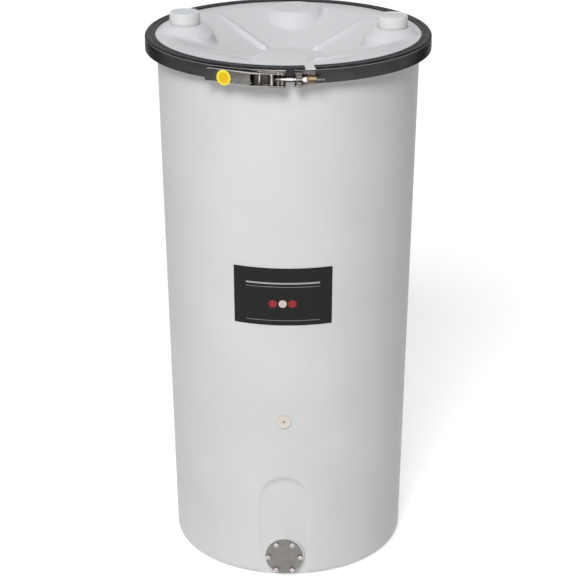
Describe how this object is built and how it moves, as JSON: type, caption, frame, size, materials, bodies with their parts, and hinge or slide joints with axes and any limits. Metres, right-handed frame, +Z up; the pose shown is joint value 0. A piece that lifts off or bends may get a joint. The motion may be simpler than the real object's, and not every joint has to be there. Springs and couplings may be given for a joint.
{
  "type": "wine tank",
  "caption": "Tall round polyethylene wine tank with a dished lid, two screw caps, a latched steel clamp ring, a sample port and a blanked bottom outlet.",
  "frame": {"origin": "centre of the flat bottom that the tank stands on", "axes": "+Z up along the tank's axis, -Y towards the front with the label, the sample port and the outlet, +X to the right seen from the front"},
  "size_m": [0.6098, 0.6289, 1.217],
  "materials": {
    "tank_plastic": "translucent natural polyethylene, moulded",
    "lid_plastic": "natural polyethylene, moulded",
    "cap_plastic": "moulded",
    "seal_rubber": "white sealing rubber",
    "liner_rubber": "black extruded rubber",
    "band_steel": "rolled stainless strip",
    "latch_steel": "pressed stainless sheet",
    "bolt_steel": "bright turned steel",
    "brass": "turned",
    "plate_steel": "brushed stainless plate",
    "port_plastic": "cream moulded",
    "label_film": "glossy black film",
    "tag_film": "printed vinyl disc"
  },
  "bodies": {
    "tank": {"tank_body": "tank_plastic", "rim_gasket": "seal_rubber", "outlet_gasket": "seal_rubber", "outlet_plate": "plate_steel", "outlet_bolts": "bolt_steel", "outlet_inserts": "brass", "sample_port_bush": "port_plastic", "sample_port_seal": "seal_rubber", "sample_port_nut": "port_plastic", "sample_port_plug": "port_plastic", "front_label": "label_film"},
    "lid": {"lid": "lid_plastic"},
    "clamp": {"clamp_liner": "liner_rubber", "clamp_band": "band_steel", "clamp_tongue": "band_steel", "latch_frame": "latch_steel", "lever_rivets": "latch_steel", "stop_pin": "latch_steel", "trunnion_strap": "latch_steel"},
    "trunnion": {"trunnion": "bolt_steel"},
    "lever": {"latch_lever": "latch_steel", "barrel_pin": "bolt_steel", "lever_tag": "tag_film"},
    "bolt": {"eye_bolt": "bolt_steel"},
    "sleeve": {"bolt_sleeve": "bolt_steel"},
    "nut": {"adjusting_nut": "brass"},
    "left_cap_rise": {"left_cap_seal": "seal_rubber"},
    "left_cap": {"left_cap": "cap_plastic"},
    "right_cap_rise": {"right_cap_seal": "seal_rubber"},
    "right_cap": {"right_cap": "cap_plastic"}
  },
  "joints": [
    {"name": "lid_lift", "type": "slide", "parent": "tank", "child": "lid", "axis": [0, 0, 1], "range_m": [0, 0.3]},
    {"name": "clamp_lift", "type": "slide", "parent": "lid", "child": "clamp", "axis": [0, 0, 1], "range_m": [0, 0.1]},
    {"name": "lever_open", "type": "hinge", "parent": "clamp", "child": "lever", "pos_m": [-0.00163, -0.31742, 1.158], "axis": [0, 0, 1], "range_deg": [0, 130]},
    {"name": "bolt_swing", "type": "hinge", "parent": "lever", "child": "bolt", "pos_m": [-0.02208, -0.31573, 1.158], "axis": [0, 0, 1], "range_deg": [-143.5, 0]},
    {"name": "trunnion_swivel", "type": "hinge", "parent": "clamp", "child": "trunnion", "pos_m": [0.03193, -0.31438, 1.158], "axis": [0, 0, 1], "range_deg": [-13.5, 0]},
    {"name": "nut_advance", "type": "slide", "parent": "bolt", "child": "sleeve", "axis": [0.9997, 0.0249, 0], "range_m": [0, 0.0101]},
    {"name": "nut_turn", "type": "hinge", "parent": "sleeve", "child": "nut", "pos_m": [-0.02208, -0.31573, 1.158], "axis": [0.9997, 0.0249, 0], "range_deg": [0, 3600]},
    {"name": "left_cap_lift", "type": "slide", "parent": "lid", "child": "left_cap_rise", "axis": [0, 0, 1], "range_m": [0, 0.0181]},
    {"name": "left_cap_turn", "type": "hinge", "parent": "left_cap_rise", "child": "left_cap", "pos_m": [-0.22087, 0.00771, 1.2], "axis": [0, 0, 1], "range_deg": [0, 1080]},
    {"name": "right_cap_lift", "type": "slide", "parent": "lid", "child": "right_cap_rise", "axis": [0, 0, 1], "range_m": [0, 0.0181]},
    {"name": "right_cap_turn", "type": "hinge", "parent": "right_cap_rise", "child": "right_cap", "pos_m": [0.22087, -0.00771, 1.2], "axis": [0, 0, 1], "range_deg": [0, 1080]}
  ],
  "couplings": [
    {"joint": "bolt_swing", "follows": "lever_open", "ratio": -1.1},
    {"joint": "trunnion_swivel", "follows": "lever_open", "ratio": -0.1},
    {"joint": "nut_advance", "follows": "nut_turn", "m_per_rad": 0.00015915},
    {"joint": "left_cap_lift", "follows": "left_cap_turn", "m_per_rad": 0.00095493},
    {"joint": "right_cap_lift", "follows": "right_cap_turn", "m_per_rad": 0.00095493}
  ]
}
